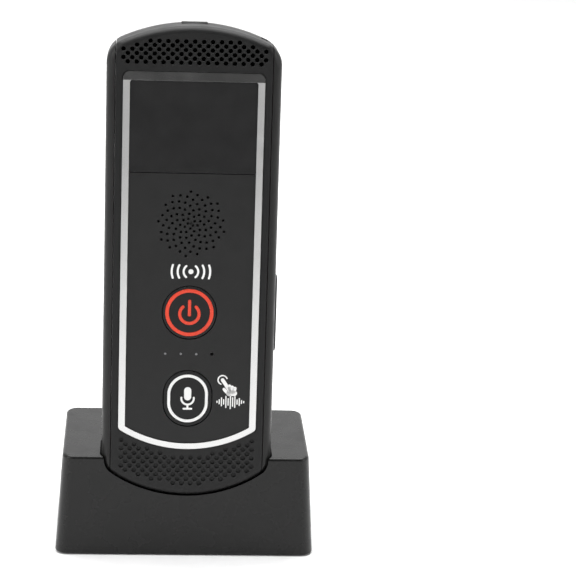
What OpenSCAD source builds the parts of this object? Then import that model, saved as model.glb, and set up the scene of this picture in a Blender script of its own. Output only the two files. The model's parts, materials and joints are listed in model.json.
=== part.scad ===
// Hand-held intercom pager standing in its charging dock.
// Row frame: +Z up, the front faces -Y, origin on the ground under the middle of the dock.
// The handset is drawn upright in its own frame and then seated in the dock, leaning back.
// In that frame x is across, y runs from the front plane inwards and z runs up from the foot.

/* [Handset] */
// Width over both side rails
hs_w = 71; // [70:0.5:72]
// Length from the lowest point of the foot to the top of the crown
hs_l = 197; // [194:0.5:198]
// Thickness from front to back
hs_t = 23; // [22.5:0.5:25]
// Radius of the arc across the crown
crown_r = 71; // [69:0.5:73]
// Radius of the arc across the foot
foot_r = 57; // [56:0.5:58]
// Wall thickness of the shells
wall = 2; // [1.8:0.1:2.2]
// Depth of the joint line between the front and the rear shell
split_y = 11; // [10.8:0.1:11.4]
// Distance from the middle to the seam of a side rail
seam_x = 31.8; // [31.6:0.1:32]

/* [Trim and panel] */
// Half the width over the trim frame
trim_x = 28.65; // [28.3:0.05:28.8]
// Height of the trim frame's top edge
trim_top = 178.4; // [178:0.1:179]
// Width of the trim frame's side bars
trim_bar = 2.75; // [2.5:0.05:3]
// Height of the trim frame's top bar
trim_top_bar = 3.5; // [3.2:0.1:3.8]
// Outer radius of the trim frame's lower arc
trim_arc_r = 53; // [51:0.5:55]
// Height of the joint between the display window and the control panel
panel_joint = 137.25; // [136.5:0.25:138]

/* [Controls] */
// Height of the loudspeaker's centre
speaker_z = 116.4; // [115.5:0.1:117]
// Number of holes in front of the loudspeaker
speaker_holes = 97; // [60:1:97]
// Height of the power button's centre
power_z = 79.1; // [78.5:0.1:79.5]
// Diameter of the power button
power_d = 22.2; // [21.5:0.1:22.4]
// Height of the row of indicator lights
led_z = 61.5; // [61:0.1:62]
// Distance between two indicator lights
led_step = 6.45; // [6:0.05:6.6]
// Height of the talk button's centre
talk_z = 42.45; // [42:0.1:43]
// Width of the talk button
talk_w = 20; // [19.5:0.1:20.2]
// Length of the straight sides of the talk button
talk_straight = 3.7; // [3:0.1:4]
// Travel of the power and talk buttons
button_travel = 0.8; // [0.5:0.1:0.8]
// Height of the side key's centre
key_z = 77.2; // [76:0.2:79]
// Length of the side key
key_l = 32.8; // [30:0.2:34]

/* [Dock] */
// Width of the dock at its base
dock_w = 109; // [107:0.5:111]
// Depth of the dock at its base
dock_d = 64.6; // [64:0.2:66]
// Height of the dock
dock_h = 43.4; // [43:0.2:44.4]
// Slope of the dock's four sides in degrees
dock_draft = 3.6; // [3.2:0.2:4]
// Backward lean of the seated handset in degrees
lean = 5; // [4.6:0.2:5.4]
// Height of the seated handset's lowest point
seat_z = 26.5; // [26.5:0.1:26.8]
// Room between the handset and its pocket
pocket_gap = 0.6; // [0.5:0.05:0.7]

/* [Hidden] */
$fn = 48;
eps = 0.05;
shell_gap = 0.15;                 // half the seam between a shell and a side rail
shell_x = seam_x - shell_gap;     // half the width of the front and rear shells
rail_r = 4;                       // front corner radius of the cross-section
back_r = 6;                       // back corner radius of the cross-section
edge_f = 3;                       // front edge radius along the crown and foot
edge_b = 4;                       // back edge radius along the crown and foot
corner_t = 10;                    // top corner radius of the outline
corner_b = 7;                     // bottom corner radius of the outline
face_t = 2.8;                     // thickness of the front wall
trim_low = 20.7;                  // height of the trim frame's lowest point
trim_low_bar = 2.4;               // height of the trim frame's lower bar
panel_y = 0.15;                   // depth of the panel's face behind the front plane
panel_t = 1.3;                    // thickness of the panel plates
recess_y = panel_y + panel_t;     // depth of the recess that holds trim and panel
fit_gap = 0.3;                    // room around a button
flange_t = 0.8;
board_y = 9.4;                    // front face of the main board
board_t = 1.2;
switch_t = 3.5;                   // height of a tact switch body
grille_step = [1.794, 1.706];     // half pitch of the crown grille across and up
grille_top = 190.8;               // height of the crown grille's first row
grille_r = 0.93;
dimple_step = [1.818, 1.862];     // half pitch of the foot dimples across and up
dimple_top = 24.23;               // height of the first row of dimples
dimple_r = 0.9;
golden = 137.508;                 // golden angle in degrees
speaker_hole_r = 0.56;
speaker_spread = 13.9;            // radius of the outermost loudspeaker hole
post_xz = [[-26.4, 38], [26.4, 38], [-26.4, 168], [26.4, 168]];
seat_y = -dock_d / 2 + seat_z * tan(dock_draft) - 0.05;
mouth_lead = 0.8;                 // how far the pocket's mouth is let out to the front
dock_in = dock_h * tan(dock_draft);  // how far the dock's top edge stands in from its base
pin_x = 5;                        // sideways place of a charge pin
pin_y = 11.5;                     // depth of the charge pads in the handset
pin_r = 1;
pin_travel = 1;
pad_z = 0.5;                      // height of the pads' lower face in the handset
base_z = 0.6;                     // height of the dock shell's lower edge
base_t = 2.2;
board_z = 6.4;                    // height of the dock board's lower face
socket_size = [7.8, 5.6, 2.7];    // width, depth and height of a micro-USB inlet
socket_y = 28.4;                  // rear face of the dock's inlet
plug_room = [11.2, 5.8];          // width and height of the recess that a plug enters
plug_room_z = 6.6;                // height of the recess's lower edge
cover_y0 = 12.3;                  // front edge of the port cover
cover_y1 = 18.6;                  // rear edge of the port cover
cover_x = 5.3;                    // half the width of the port cover
cover_rise = 0.15;                // how far the port cover stands proud of the crown
cover_pin_z = -0.15;              // height of the cover's hinge pin over the crown's top
port_y = (cover_y0 + cover_y1) / 2;
foot_xy = [[-44, -22], [44, -22], [-44, 22], [44, 22]];
dock_screw_xy = [[-32, -24], [32, -24], [-44, 8], [44, 8]];

// ---------- shared shapes ----------

// Places a shape drawn in the handset's own frame.
module seated() {
  translate([0, seat_y, seat_z]) rotate([-lean, 0, 0]) children();
}

// Extrudes an outline drawn as seen from the front, from depth y0 to depth y1.
module from_front(y0, y1) {
  translate([0, y1, 0]) rotate([90, 0, 0]) linear_extrude(y1 - y0) children();
}

// A round bar along the depth of the handset, at x and z.
module bore_y(x, z, r, y0, y1) {
  translate([x, y1, z]) rotate([90, 0, 0]) cylinder(h = y1 - y0, r = r);
}

// A box given by its two corners.
module box(a, b) {
  translate(a) cube(b - a);
}

// A rectangle with corner radius a along its low side and b along its high side.
module rounded(x0, y0, x1, y1, a, b) {
  polygon([[x0 + a, y0], [x1 - a, y0], [x1, y0 + a], [x1, y1 - b],
           [x1 - b, y1], [x0 + b, y1], [x0, y1 - b], [x0, y0 + a]]);
  for (x = [x0 + a, x1 - a]) translate([x, y0 + a]) circle(a);
  for (x = [x0 + b, x1 - b]) translate([x, y1 - b]) circle(b);
}

// Half of the turned profile of a crown or foot of radius r, grown by g.
module end_profile(r, g) {
  a = edge_f + g;
  b = edge_b + g;
  polygon([[0, -g], [r + g - a, -g], [r + g, a - g], [r + g, hs_t + g - b],
           [r + g - b, hs_t + g], [0, hs_t + g]]);
  translate([r + g - a, a - g]) circle(a);
  translate([r + g - b, hs_t + g - b]) circle(b);
}

// The round disc that shapes the crown or the foot, with its centre at height z.
module end_disc(r, z, g) {
  translate([0, 0, z]) rotate([-90, 0, 0]) rotate_extrude($fn = 180) end_profile(r, g);
}

// The outline seen from the front, open above and below where the end discs close it.
module side_outline(g) {
  cx_t = hs_w / 2 - corner_t;
  cz_t = hs_l - crown_r + sqrt(pow(crown_r - corner_t, 2) - cx_t * cx_t);
  tan_t = [cx_t, cz_t - hs_l + crown_r] * crown_r / (crown_r - corner_t);
  cx_b = hs_w / 2 - corner_b;
  cz_b = foot_r - sqrt(pow(foot_r - corner_b, 2) - cx_b * cx_b);
  tan_b = [cx_b, cz_b - foot_r] * foot_r / (foot_r - corner_b);
  far = 20;
  for (s = [-1, 1]) {
    polygon([[0, -far], [s * tan_b[0], -far], [s * tan_b[0], foot_r + tan_b[1]],
             [s * (hs_w / 2 + g), cz_b], [s * (hs_w / 2 + g), cz_t],
             [s * tan_t[0], hs_l - crown_r + tan_t[1]], [s * tan_t[0], hs_l + far],
             [0, hs_l + far]]);
    translate([s * cx_t, cz_t]) circle(corner_t + g);
    translate([s * cx_b, cz_b]) circle(corner_b + g);
  }
}

// The whole closed handset, grown by g on every side.
module form(g = 0) {
  intersection() {
    translate([0, 0, -10]) linear_extrude(hs_l + 20)
      rounded(-hs_w / 2 - g, -g, hs_w / 2 + g, hs_t + g, rail_r + g, back_r + g);
    from_front(-10, hs_t + 10) side_outline(g);
    union() {
      end_disc(crown_r, hs_l - crown_r, g);
      end_disc(foot_r, foot_r, g);
      box([-hs_w, -g, foot_r], [hs_w, hs_t + g, hs_l - crown_r]);
    }
  }
}

// The part of the closed form between two depths and inside a half width.
module slice(g, half_x, y0, y1) {
  intersection() {
    form(g);
    box([-half_x, y0, -10], [half_x, y1, hs_l + 10]);
  }
}

// The trim frame's outline, shrunk by s.
module trim_outline(s) {
  inner = s > 1;
  x = trim_x - s;
  top = trim_top - (inner ? trim_top_bar + s - trim_bar : s);
  arc = trim_arc_r - (inner ? s - trim_bar + trim_low_bar : s);
  arc_c = [0, trim_low + trim_arc_r];
  r = inner ? 0.8 : 2;
  drop = sqrt(pow(arc - r, 2) - pow(x - r, 2));
  difference() {
    intersection() {
      rounded(-x, trim_low - 15, x, top, 1, inner ? 0.8 : 2.6);
      union() {
        translate(arc_c) circle(arc, $fn = 180);
        translate([-x, arc_c[1]]) square([2 * x, trim_top]);
      }
    }
    // the rounding of the two lower corners
    for (k = [-1, 1]) translate([k * (x - r), arc_c[1] - drop]) difference() {
      polygon([[0, 0], [k * 9, 0], [k * 9, -9], [k * (x - r) / 5, -drop / 5]]);
      circle(r);
    }
  }
}

// The talk button's outline, shrunk by s.
module talk_outline(s) {
  r = talk_w / 2 - s;
  for (k = [-1, 1]) translate([0, talk_z + k * talk_straight / 2]) circle(r);
  translate([-r, talk_z - talk_straight / 2]) square([2 * r, talk_straight]);
}

// The power sign: an open ring and an upright bar.
module power_sign() {
  ring_r = 4;
  bar_w = 1.35;
  drop = -0.55;
  gap_x = 2.75;
  translate([0, power_z + drop]) {
    difference() {
      circle(ring_r + bar_w / 2);
      circle(ring_r - bar_w / 2);
      polygon([[0, 0], [-2 * gap_x, 6], [2 * gap_x, 6]]);
    }
    for (s = [-1, 1]) translate([s * 2.68, 2.97]) circle(bar_w / 2);
    translate([0, 5.4]) circle(bar_w / 2);
    translate([0, -0.4]) circle(bar_w / 2);
    translate([-bar_w / 2, -0.4]) square([bar_w, 5.8]);
  }
}

// The microphone sign on the talk button: a capsule, its cradle, stem and foot.
module microphone_sign() {
  translate([0, talk_z]) {
    for (z = [0.7, 3.4]) translate([0, z]) circle(1.5);
    translate([-1.5, 0.7]) square([3, 2.7]);
    difference() {
      circle(3);
      circle(2.2);
      translate([-4, 0.6]) square([8, 4]);
    }
    translate([-0.4, -4.4]) square([0.8, 1.8]);
    translate([-2, -4.8]) square([4, 0.8]);
  }
}

// ---------- handset housing ----------

// True where a crown grille hole of column k and row j is drilled.
function in_grille(k, j) =
  (k + j) % 2 == 0 && abs(k) * grille_step[0] < 29
  && norm([k * grille_step[0], grille_top - j * grille_step[1] - hs_l + crown_r])
     < crown_r - 3.2;

// True where a foot dimple of column k and row j is sunk.
function in_dimples(k, j) =
  (abs(k) + j) % 2 == 1
  && norm([k * dimple_step[0], dimple_top - j * dimple_step[1] - 60]) < 55.1
  && norm([k * dimple_step[0], dimple_top - j * dimple_step[1] - 71.4]) > 53.4;

module grille_holes() {
  for (j = [0:5], k = [-16:16])
    if (in_grille(k, j))
      bore_y(k * grille_step[0], grille_top - j * grille_step[1], grille_r, -1, face_t + 1);
}

module foot_dimples() {
  for (j = [0:10], k = [-15:15])
    if (in_dimples(k, j))
      bore_y(k * dimple_step[0], dimple_top - j * dimple_step[1], dimple_r, -1, 0.9);
}

// The openings that both the control panel and the wall behind it share.
module control_openings(y0, y1) {
  bore_y(0, power_z, power_d / 2 + fit_gap, y0, y1);
  from_front(y0, y1) talk_outline(-fit_gap);
}

// The hole in the shells' right wall that the side key's plunger passes through.
module plunger_hole() {
  translate([28, 11.5, key_z]) rotate([0, 90, 0]) cylinder(h = 5, r = 1.15);
}

// The two holes in the foot that hold the charge pads.
module pad_holes() {
  for (s = [-1, 1]) translate([s * pin_x, pin_y + 1.5, -2]) cylinder(h = 8, r = 2.2);
}

module front_shell() {
  color("#262626") seated() {
    difference() {
      slice(0, shell_x, -1, split_y);
      intersection() {
        slice(-wall, shell_x - wall, face_t, split_y + 1);
        box([-40, face_t, 0], [40, 30, hs_l]);
      }
      from_front(-1, recess_y) trim_outline(-fit_gap);
      box([-23, 0, 144], [23, face_t + 1, 171]);
      bore_y(0, speaker_z, 14.8, 0, face_t + 1);
      control_openings(0, face_t + 1);
      for (i = [-1.5:1:1.5]) bore_y(i * led_step, led_z, 0.75, 0, face_t + 1);
      grille_holes();
      foot_dimples();
      plunger_hole();
      pad_holes();
    }
    for (p = post_xz) difference() {
      bore_y(p[0], p[1], 2.9, face_t - 0.2, split_y);
      bore_y(p[0], p[1], 1.2, face_t + 1, split_y + 1);
    }
  }
}

module rear_shell() {
  color("#242424") seated() {
    difference() {
      union() {
        difference() {
          slice(0, shell_x, split_y, hs_t + 1);
          slice(-wall, shell_x - wall, split_y - 1, hs_t - wall);
        }
        for (p = post_xz) bore_y(p[0], p[1], 2.9, split_y + eps, hs_t - 1);
      }
      for (p = post_xz) {
        bore_y(p[0], p[1], 1.45, 0, hs_t + 1);
        bore_y(p[0], p[1], 2.6, 19, hs_t + 1);
      }
      // the port's recess and its throat
      box([-cover_x - 0.25, cover_y0 - 0.25, hs_l - 0.75], [cover_x + 0.25, cover_y1 + 0.45, hs_l + 2]);
      box([-4.6, port_y - 2.3, hs_l - 5], [4.6, port_y + 2.3, hs_l]);
      // the strap slot in the right shoulder
      box([27.2, 12.5, hs_l - 16], [30, 18.5, hs_l]);
      translate([26.5, 15.5, hs_l - 10]) rotate([0, 90, 0]) cylinder(h = 4.2, r = 0.62);
      plunger_hole();
      pad_holes();
    }
  }
}

// The grip strip along the right side.
module side_rail() {
  intersection() {
    form(0);
    box([seam_x + shell_gap, -1, -5], [hs_w, hs_t + 1, hs_l]);
  }
}

module side_rail_left() {
  color("#2a2a29") seated() mirror([1, 0, 0]) side_rail();
}

// The key's outline seen from the side, grown by g, as an extrusion from x0 to x1.
module key_block(g, x0, x1) {
  r = 3.2 + g;
  translate([x0, 11.5, key_z]) rotate([90, 0, 90]) linear_extrude(x1 - x0) {
    for (k = [-1, 1]) translate([0, k * (key_l / 2 - 3.2)]) circle(r);
    translate([-r, -key_l / 2 + 3.2]) square([2 * r, key_l - 6.4]);
  }
}

module side_rail_right() {
  color("#2a2a29") seated() difference() {
    side_rail();
    key_block(0.25, 30, 40);
  }
}

module trim_frame() {
  color("#d8d8d8") seated() from_front(-0.35, recess_y - 0.02) difference() {
    trim_outline(0);
    trim_outline(trim_bar);
  }
}

// ---------- panel, display and buttons ----------

module display_window() {
  color("#2b2b2b") seated() from_front(panel_y, recess_y - 0.02) intersection() {
    trim_outline(trim_bar + 0.1);
    translate([-40, panel_joint + 0.12]) square([80, 60]);
  }
}

module control_panel() {
  color("#303030") seated() difference() {
    from_front(panel_y, recess_y - 0.02) intersection() {
      trim_outline(trim_bar + 0.1);
      translate([-40, 0]) square([80, panel_joint - 0.12]);
    }
    control_openings(-1, 3);
    for (n = [0:speaker_holes - 1])
      bore_y(speaker_spread * pow(n / (speaker_holes - 1), 0.6) * sin(n * golden),
             speaker_z + speaker_spread * pow(n / (speaker_holes - 1), 0.6) * cos(n * golden),
             speaker_hole_r, -1, 3);
    for (i = [-1.5:1:0.5]) bore_y(i * led_step, led_z, 0.5, -1, 3);
    bore_y(1.5 * led_step, led_z, 0.7, -1, 3);
  }
}

module display_module() {
  color("#1d2226") seated() {
    box([-22.5, face_t + 0.1, 144.5], [22.5, face_t + 1.9, 170.5]);
    box([-20, face_t + 1.9, 148], [20, face_t + 3.2, 168]);
  }
}

// A press button's flange and stem behind its cap, at height z.
module button_back(z) {
  bore_y(0, z, 2, face_t + flange_t, 5);
}

module power_button() {
  color("#2c2c2c") seated() {
    difference() {
      bore_y(0, power_z, power_d / 2, panel_y - 0.15, face_t + 0.1);
      from_front(-1, 0.6) difference() {
        translate([0, power_z]) circle(10);
        translate([0, power_z]) circle(8.45);
      }
      from_front(-1, 0.6) power_sign();
    }
    bore_y(0, power_z, power_d / 2 + 1.1, face_t + eps, face_t + flange_t + eps);
    button_back(power_z);
  }
}

module power_legend() {
  color("#d93a20") seated() from_front(panel_y - 0.13, 0.58) {
    translate([0, power_z]) difference() {
      circle(9.98);
      circle(8.47);
    }
    power_sign();
  }
}

module talk_button() {
  color("#2c2c2c") seated() {
    difference() {
      from_front(panel_y - 0.15, face_t + 0.1) talk_outline(0);
      from_front(-1, 0.6) difference() {
        talk_outline(1.55);
        talk_outline(2.8);
      }
      from_front(-1, 0.6) microphone_sign();
    }
    from_front(face_t + eps, face_t + flange_t + eps) talk_outline(-1.1);
    button_back(talk_z);
  }
}

module talk_legend() {
  color("white") seated() from_front(panel_y - 0.13, 0.58) {
    difference() {
      talk_outline(1.57);
      talk_outline(2.78);
    }
    microphone_sign();
  }
}

// The moving pin of a tact switch behind a button at height z.
module plunger(z) {
  bore_y(0, z, 1.5, 5.02, 6.9);
}

// The body of a tact switch on the main board, with the bore its plunger moves in.
module tact_switch(z) {
  difference() {
    box([-3, board_y - switch_t, z - 3], [3, board_y, z + 3]);
    bore_y(0, z, 1.58, 0, 6.9 + button_travel + 0.2);
  }
}

module power_plunger() {
  color("#8c6f4a") seated() plunger(power_z);
}

module power_switch() {
  color("#1c1c1c") seated() tact_switch(power_z);
}

module talk_plunger() {
  color("#8c6f4a") seated() plunger(talk_z);
}

module talk_switch() {
  color("#1c1c1c") seated() tact_switch(talk_z);
}

module side_key() {
  color("#2e2e2e") seated() {
    difference() {
      key_block(0, 32.6, 36.5);
      box([35.9, 0, key_z + key_l / 2 - 1.2], [40, 30, key_z + key_l]);
      box([35.9, 0, key_z - key_l], [40, 30, key_z - key_l / 2 + 1.2]);
    }
  }
}

module side_plunger() {
  color("#8c6f4a") seated() translate([27.2, 11.5, key_z]) rotate([0, 90, 0]) cylinder(h = 5.38, r = 1);
}

module side_switch() {
  color("#1c1c1c") seated() difference() {
    box([24.6, 9.2, key_z - 3], [28.4, 13.8, key_z + 3]);
    translate([26.2, 11.5, key_z]) rotate([0, 90, 0]) cylinder(h = 5, r = 1.08);
  }
}

// ---------- port, sound and electronics ----------

module port_cover() {
  color("#1b1b1b") seated() {
    box([-cover_x, cover_y0, hs_l - 0.7], [cover_x, cover_y1, hs_l + cover_rise]);
    box([-3.4, port_y - 1.1, hs_l - 1.7], [3.4, port_y + 1.1, hs_l - 0.7]);
    translate([-cover_x, cover_y1, hs_l + cover_pin_z]) rotate([0, 90, 0])
      cylinder(h = 2 * cover_x, r = 0.35);
  }
}

module usb_socket() {
  color("silver") seated() difference() {
    box([-socket_size[0] / 2, port_y - socket_size[2] / 2, hs_l - 3 - socket_size[1]],
        [socket_size[0] / 2, port_y + socket_size[2] / 2, hs_l - 3]);
    box([-3.5, port_y - 0.95, hs_l - 3 - socket_size[1] + 0.8], [3.5, port_y + 0.95, hs_l]);
  }
}

module port_board() {
  color("#1f5c3a") seated()
    box([-7, port_y + socket_size[2] / 2, hs_l - 19], [7, port_y + socket_size[2] / 2 + 1, hs_l - 4]);
}

module speaker_gasket() {
  color("#3a3a3a") seated() difference() {
    bore_y(0, speaker_z, 16, face_t, face_t + 0.6);
    bore_y(0, speaker_z, 13.4, 0, 5);
  }
}

module speaker_basket() {
  color("#4a4a4c") seated() difference() {
    bore_y(0, speaker_z, 15.5, face_t + 0.6, 6);
    bore_y(0, speaker_z, 13.6, 0, 4.6);
    bore_y(0, speaker_z, 8.05, 4, 7);
  }
}

module speaker_magnet() {
  color("#9a9a9e") seated() bore_y(0, speaker_z, 8, 5.2, 9.2);
}

module speaker_cone() {
  color("#55504a") seated() translate([0, 0, speaker_z]) rotate([-90, 0, 0]) rotate_extrude()
    polygon([[0, 4.7], [4, 4.7], [6, 4.2], [12.6, 3.6], [13.5, 3.6], [13.5, 4], [12.6, 4],
             [6.2, 4.55], [4.2, 5.1], [0, 5.1]]);
}

module microphone() {
  color("#b5b5b5") seated() bore_y(1.5 * led_step, led_z, 2, 4.6, 6.6);
}

module microphone_boot() {
  color("#222222") seated() difference() {
    bore_y(1.5 * led_step, led_z, 3, face_t, 7);
    bore_y(1.5 * led_step, led_z, 0.7, 0, 5);
    bore_y(1.5 * led_step, led_z, 2, 4.6, 8);
  }
}

module light_guides() {
  color("#8a8a8a") seated() for (i = [-1.5:1:0.5]) {
    bore_y(i * led_step, led_z, 0.48, panel_y + 0.05, face_t);
    bore_y(i * led_step, led_z, 1, face_t, board_y - 1.2);
  }
}

// A fine mesh glued behind the crown grille.
module grille_mesh() {
  color("#141414") seated() intersection() {
    slice(-wall - 0.3, 29.2, face_t, face_t + 0.3);
    box([-40, 0, 180.8], [40, 30, hs_l]);
  }
}

module main_board() {
  color("#1f5c3a") seated() box([-23, board_y, 30], [23, board_y + board_t, 176]);
}

// A folded strip aerial standing over the top of the board.
module antenna() {
  color("#c98f4a") seated() {
    box([-20, 8.6, 178], [-2, 9, 186]);
    box([-20, 8.6, 172], [-18, 9, 178]);
    box([-20, 9, 172], [-18, board_y, 174]);
  }
}

module battery() {
  color("#b9bcc0") seated() {
    box([-19, 11.6, 52], [19, 18.8, 112]);
    box([-16, 12.4, 112], [16, 14.4, 114.5]);
  }
}

module battery_leads() {
  color("#b32020") seated() for (x = [-1.2, 1.2])
    translate([x, 13.4, 114.5]) cylinder(h = 9.5, r = 0.6);
}

module battery_plug() {
  color("ivory") seated() box([-4, board_y + board_t, 124], [4, 15.2, 130]);
}

module charge_pads() {
  color("#c9a86a") seated() for (s = [-1, 1])
    translate([s * pin_x, pin_y + 1.5, pad_z]) cylinder(h = 2.6, r = 2.15);
}

module lanyard_pin() {
  color("silver") seated() translate([26.6, 15.5, hs_l - 10]) rotate([0, 90, 0]) cylinder(h = 4, r = 0.6);
}

module case_screws() {
  color("#77777a") seated() for (p = post_xz) {
    difference() {
      bore_y(p[0], p[1], 2.45, 19, 20.8);
      box([p[0] - 1.6, 20, p[1] - 0.25], [p[0] + 1.6, 22, p[1] + 0.25]);
      box([p[0] - 0.25, 20, p[1] - 1.6], [p[0] + 0.25, 22, p[1] + 1.6]);
    }
    bore_y(p[0], p[1], 1.18, 6, 19);
  }
}

// ---------- charging dock ----------

// The dock's tapered block, shrunk by s and closed at height top.
module dock_block(s, top) {
  soft = s > 0 ? 0.3 : 1.3;
  hull() for (x = [-1, 1], y = [-1, 1]) {
    translate([x * (dock_w / 2 - s - 5), y * (dock_d / 2 - s - 5), base_z]) cylinder(h = 0.01, r = 5, $fn = 32);
    translate([x * (dock_w / 2 - s - 5 - dock_in), y * (dock_d / 2 - s - 5 - dock_in), 0]) {
      translate([0, 0, top - soft]) cylinder(h = 0.01, r = 5, $fn = 32);
      translate([0, 0, top - soft * 0.3]) cylinder(h = 0.01, r = 5 - soft * 0.3, $fn = 32);
      translate([0, 0, top - 0.01]) cylinder(h = 0.01, r = 5 - soft, $fn = 32);
    }
  }
}

// The pocket's outer body, reaching up to the dock's top.
module pocket_body() {
  intersection() {
    seated() form(pocket_gap + wall);
    translate([-60, -60, 0]) cube([120, 120, dock_h - 1]);
  }
}

module dock_shell() {
  color("#2f2f2f") {
    difference() {
      union() {
        difference() {
          dock_block(0, dock_h);
          difference() {
            translate([0, 0, -1]) dock_block(2.2, dock_h - 1.2);
            pocket_body();
          }
        }
        for (p = dock_screw_xy)
          translate([p[0], p[1], base_z + base_t]) cylinder(h = dock_h - base_z - base_t - 1, r = 3.2);
      }
      seated() for (lead = [0, mouth_lead]) translate([0, -lead, 0]) form(pocket_gap);
      for (p = dock_screw_xy) translate([p[0], p[1], 0]) cylinder(h = 15, r = 1.25);
      // the hole that the pin housing fills
      box([-9.1, seat_y + 8.9, 10], [9.1, seat_y + 16.1, 40]);
      // the recess for the plug at the back
      box([-plug_room[0] / 2, 20, plug_room_z],
          [plug_room[0] / 2, 40, plug_room_z + plug_room[1]]);
    }
    // two ribs that carry the handset's foot
    for (s = [-1, 1]) difference() {
      box([s * 17 - 1.5, seat_y + 5, seat_z - 3], [s * 17 + 1.5, seat_y + 19, seat_z + 4]);
      seated() form(0.05);
    }
  }
}

module dock_base() {
  color("#222222") difference() {
    union() {
      intersection() {
        dock_block(2.35, dock_h);
        box([-60, -40, base_z], [60, 40, base_z + base_t - 0.05]);
      }
      for (x = [-20, 20], y = [2, 26]) translate([x, y, base_z + 1]) cylinder(h = board_z - base_z - 1, r = 2.5);
    }
    for (p = dock_screw_xy) {
      translate([p[0], p[1], -1]) cylinder(h = 6, r = 1.7);
      translate([p[0], p[1], -1]) cylinder(h = 2.4, r = 3);
    }
    for (p = foot_xy) translate([p[0], p[1], -1]) cylinder(h = 2.4, r = 4.6);
  }
}

module dock_feet() {
  color("#141414") for (p = foot_xy) translate([p[0], p[1], 0]) cylinder(h = 1.4, r = 4.5);
}

module dock_board() {
  color("#1f5c3a") box([-25, -26, board_z], [25, socket_y - 0.2, board_z + 1.6]);
}

module dock_usb_socket() {
  color("silver") difference() {
    box([-socket_size[0] / 2, socket_y - socket_size[1], board_z + 1.6],
        [socket_size[0] / 2, socket_y, board_z + 1.6 + socket_size[2]]);
    box([-3.5, socket_y - socket_size[1] + 0.8, board_z + 2], [3.5, 40, board_z + 3.9]);
  }
}

// Height of the rounded tip's centre, so that it just meets the leaning pads.
pin_tip_z = seat_z + ((pad_z - pin_r - 0.02) - (pin_y + 1) * sin(lean)) / cos(lean);
pin_world_y = seat_y + pin_y + 1;
collar_z = 14;                    // height of a pin's collar
housing_top = 23.6;

module pin_housing() {
  color("#18181a") difference() {
    box([-9, pin_world_y - 3.5, board_z + 1.6], [9, pin_world_y + 3.5, housing_top]);
    for (s = [-1, 1]) translate([s * pin_x, pin_world_y, 0]) {
      translate([0, 0, board_z + 2.2]) cylinder(h = collar_z + 1.5 + pin_travel + 0.1 - board_z - 2.2, r = 1.75);
      translate([0, 0, board_z + 3]) cylinder(h = 30, r = pin_r + 0.07);
    }
  }
}

module contact_pins() {
  color("#c9a86a") for (s = [-1, 1]) translate([s * pin_x, pin_world_y, 0]) {
    translate([0, 0, collar_z]) cylinder(h = 1.5, r = 1.65);
    translate([0, 0, collar_z + 1.5]) cylinder(h = pin_tip_z - collar_z - 1.5, r = pin_r);
    translate([0, 0, pin_tip_z]) sphere(pin_r);
  }
}

// Corner p of ring n of a round wire wound into a spring.
function wire_point(n, p, turns, rings, coil_r, wire_r, h) =
  let (a = 360 * turns * n / rings, b = 60 * p)
  [(coil_r + wire_r * cos(b)) * cos(a), (coil_r + wire_r * cos(b)) * sin(a),
   h * n / rings + wire_r * sin(b)];

// A compression spring of round wire, standing on the ground of its own frame.
module spring(h, coil_r, wire_r, turns) {
  rings = turns * 12;
  points = [for (n = [0:rings], p = [0:5])
            wire_point(n, p, turns, rings, coil_r, wire_r, h - 2 * wire_r) + [0, 0, wire_r]];
  sides = [for (n = [0:rings - 1], p = [0:5])
           [6 * n + p, 6 * n + (p + 1) % 6, 6 * n + 6 + (p + 1) % 6, 6 * n + 6 + p]];
  polyhedron(points = points, faces = concat([[5, 4, 3, 2, 1, 0]], sides,
             [[for (p = [0:5]) 6 * rings + p]]), convexity = 6);
}

// The spring under one charge pin.
module pin_spring(s) {
  translate([s * pin_x, pin_world_y, board_z + 2.25]) spring(collar_z - board_z - 2.3, 1.35, 0.2, 5);
}

module pin_spring_left() {
  color("silver") pin_spring(-1);
}

module pin_spring_right() {
  color("silver") pin_spring(1);
}

module dock_screws() {
  color("#77777a") for (p = dock_screw_xy) translate([p[0], p[1], 0]) {
    difference() {
      translate([0, 0, base_z + 0.1]) cylinder(h = 0.7, r = 2.8);
      translate([-1.8, -0.3, 0]) cube([3.6, 0.6, 1.1]);
    }
    translate([0, 0, base_z + 0.7]) cylinder(h = 12, r = 1.23);
  }
}

front_shell();
rear_shell();
side_rail_left();
side_rail_right();
trim_frame();
display_window();
control_panel();
display_module();
power_button();
power_legend();
power_plunger();
power_switch();
talk_button();
talk_legend();
talk_plunger();
talk_switch();
side_key();
side_plunger();
side_switch();
port_cover();
usb_socket();
port_board();
speaker_gasket();
speaker_basket();
speaker_magnet();
speaker_cone();
microphone();
microphone_boot();
light_guides();
grille_mesh();
main_board();
antenna();
battery();
battery_leads();
battery_plug();
charge_pads();
lanyard_pin();
case_screws();
dock_shell();
dock_base();
dock_feet();
dock_board();
dock_usb_socket();
pin_housing();
contact_pins();
pin_spring_left();
pin_spring_right();
dock_screws();
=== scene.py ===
"""Builds the looks of a hand-held intercom pager that stands in its charging dock.

The handset's pieces are drawn upright in the handset's own frame, in millimetres: x across, y from
the front plane inwards and z up from the foot. They are then leaned back into the dock and scaled
to metres. The dock's own pieces are drawn in the row's frame, in millimetres too.
"""

from __future__ import annotations

import json
import logging
import math
from dataclasses import dataclass, field
from enum import Enum
from typing import Callable, Iterable, Sequence

import bmesh
import bpy
from mathutils import Matrix, Vector

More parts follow.
